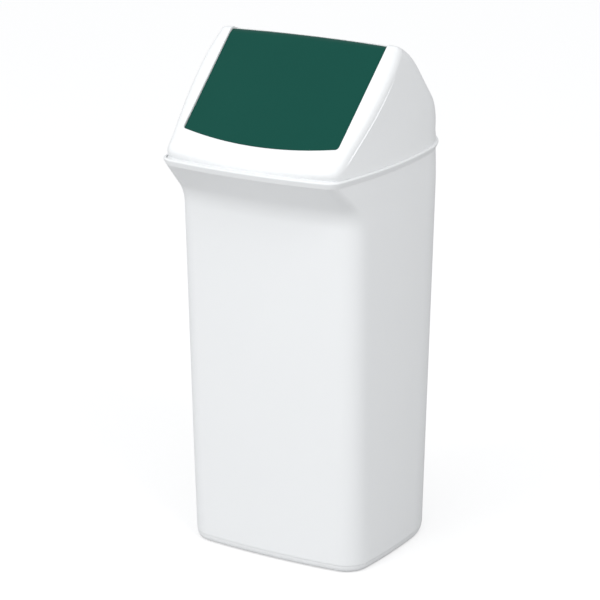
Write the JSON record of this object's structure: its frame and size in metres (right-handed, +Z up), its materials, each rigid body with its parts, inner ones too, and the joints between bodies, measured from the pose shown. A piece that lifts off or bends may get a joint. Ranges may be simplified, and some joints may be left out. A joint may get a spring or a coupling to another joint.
{
  "type": "swing-flap waste bin",
  "caption": "Free-standing tapered waste bin with a lift-off hood and a gravity-closing swing flap in its sloping front.",
  "frame": {"origin": "on the floor, under the middle of the bin's bounding box", "axes": "+Z up; the flap and the flared front face -Y; +X is to the right when the bin is seen from its front"},
  "size_m": [0.3196, 0.366, 0.7471],
  "materials": {
    "white_shell": "white moulded polypropylene, semi-gloss with a faint fine grain",
    "green_flap": "dark green moulded polypropylene, satin",
    "ballast_steel": "plain drawn steel bar",
    "screw_steel": "zinc-plated steel",
    "bush_acetal": "natural acetal, turned",
    "black_rubber": "moulded black rubber"
  },
  "bodies": {
    "bin": {"bin_body": "white_shell", "left_front_foot": "black_rubber", "right_front_foot": "black_rubber", "left_rear_foot": "black_rubber", "right_rear_foot": "black_rubber"},
    "lid": {"lid_hood": "white_shell", "left_pivot_bush": "bush_acetal", "right_pivot_bush": "bush_acetal", "left_flap_bumper": "black_rubber", "right_flap_bumper": "black_rubber"},
    "flap": {"flap_panel": "green_flap", "flap_ballast_bar": "ballast_steel", "left_ballast_screw": "screw_steel", "right_ballast_screw": "screw_steel", "left_pivot_pin": "screw_steel", "right_pivot_pin": "screw_steel"}
  },
  "joints": [
    {"name": "lid_lift", "type": "slide", "parent": "bin", "child": "lid", "axis": [0, 0, 1], "range_m": [0, 0.25]},
    {"name": "flap_swing", "type": "hinge", "parent": "lid", "child": "flap", "pos_m": [0, 0.0004, 0.7298], "axis": [1, 0, 0], "range_deg": [0, 45]}
  ]
}
